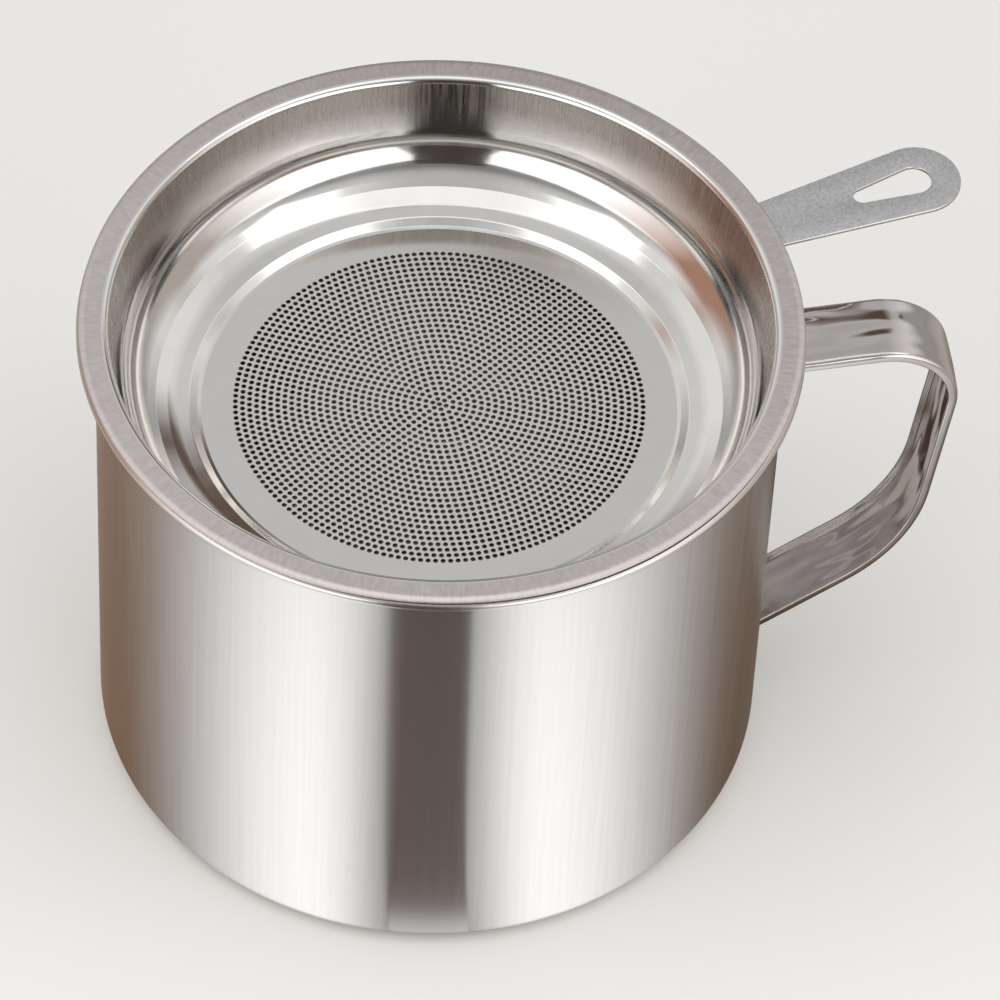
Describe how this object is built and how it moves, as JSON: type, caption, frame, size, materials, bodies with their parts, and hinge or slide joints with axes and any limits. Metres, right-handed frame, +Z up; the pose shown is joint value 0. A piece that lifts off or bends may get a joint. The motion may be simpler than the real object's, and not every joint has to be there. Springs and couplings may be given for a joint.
{
  "type": "bacon grease container",
  "caption": "Stainless steel cup with a rolled rim and a channel strap handle, and a lift-out strainer with a perforated floor and a lifting tab.",
  "frame": {"origin": "centre of the cup's flat base, on the surface that it stands on", "axes": "+Z up along the cup's axis, +X from the axis out through the middle of the handle"},
  "size_m": [0.1769, 0.1412, 0.112],
  "materials": {
    "satin_steel": "satin, finely brushed up and down the wall",
    "polished_steel": "polished",
    "brushed_steel": "matt, finely brushed",
    "weld_steel": "as welded"
  },
  "bodies": {
    "cup": {"cup_body": "satin_steel", "cup_handle": "polished_steel", "handle_weld_upper": "weld_steel", "handle_weld_lower": "weld_steel"},
    "strainer": {"strainer_dish": "polished_steel", "strainer_tab": "brushed_steel", "tab_spot_weld_left": "weld_steel", "tab_spot_weld_right": "weld_steel"}
  },
  "joints": [
    {"name": "strainer_lift", "type": "slide", "parent": "cup", "child": "strainer", "axis": [0, 0, 1], "range_m": [0, 0.04]}
  ]
}
